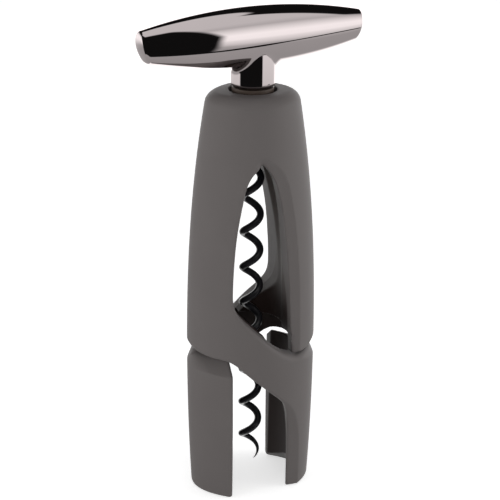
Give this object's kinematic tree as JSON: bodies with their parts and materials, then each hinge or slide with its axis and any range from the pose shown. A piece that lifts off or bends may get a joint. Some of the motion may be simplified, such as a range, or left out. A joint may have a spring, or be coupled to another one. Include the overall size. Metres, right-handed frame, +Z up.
{
  "type": "corkscrew",
  "caption": "Self-pulling corkscrew: open ribbon body that stands over a bottle's neck, coated worm on the axis, turned by a polished cross handle.",
  "frame": {"origin": "middle of the feet, on the surface the corkscrew stands on", "axes": "+Z up along the worm towards the handle, -Y out of the front window, +X towards the right-hand leg seen from the front"},
  "size_m": [0.0866, 0.042, 0.1834],
  "materials": {
    "body": "soft-touch warm grey",
    "bush": "black acetal",
    "collar": "brown-grey acetal",
    "core": "black moulded",
    "steel": "plain",
    "handle": "polished black nickel on a cast handle",
    "worm": "black non-stick coating"
  },
  "bodies": {
    "body": {"body_shell": "body", "guide_bush": "bush"},
    "collar": {"slip_collar": "collar"},
    "screw": {"screw_core": "core", "grub_screw": "steel", "handle": "handle", "worm": "worm"}
  },
  "joints": [
    {"name": "screw_lift", "type": "slide", "parent": "body", "child": "collar", "axis": [0, 0, 1], "range_m": [0, 0.055]},
    {"name": "screw_turn", "type": "hinge", "parent": "collar", "child": "screw", "pos_m": [0, 0, 0.155], "axis": [0, 0, 1], "continuous": true}
  ]
}
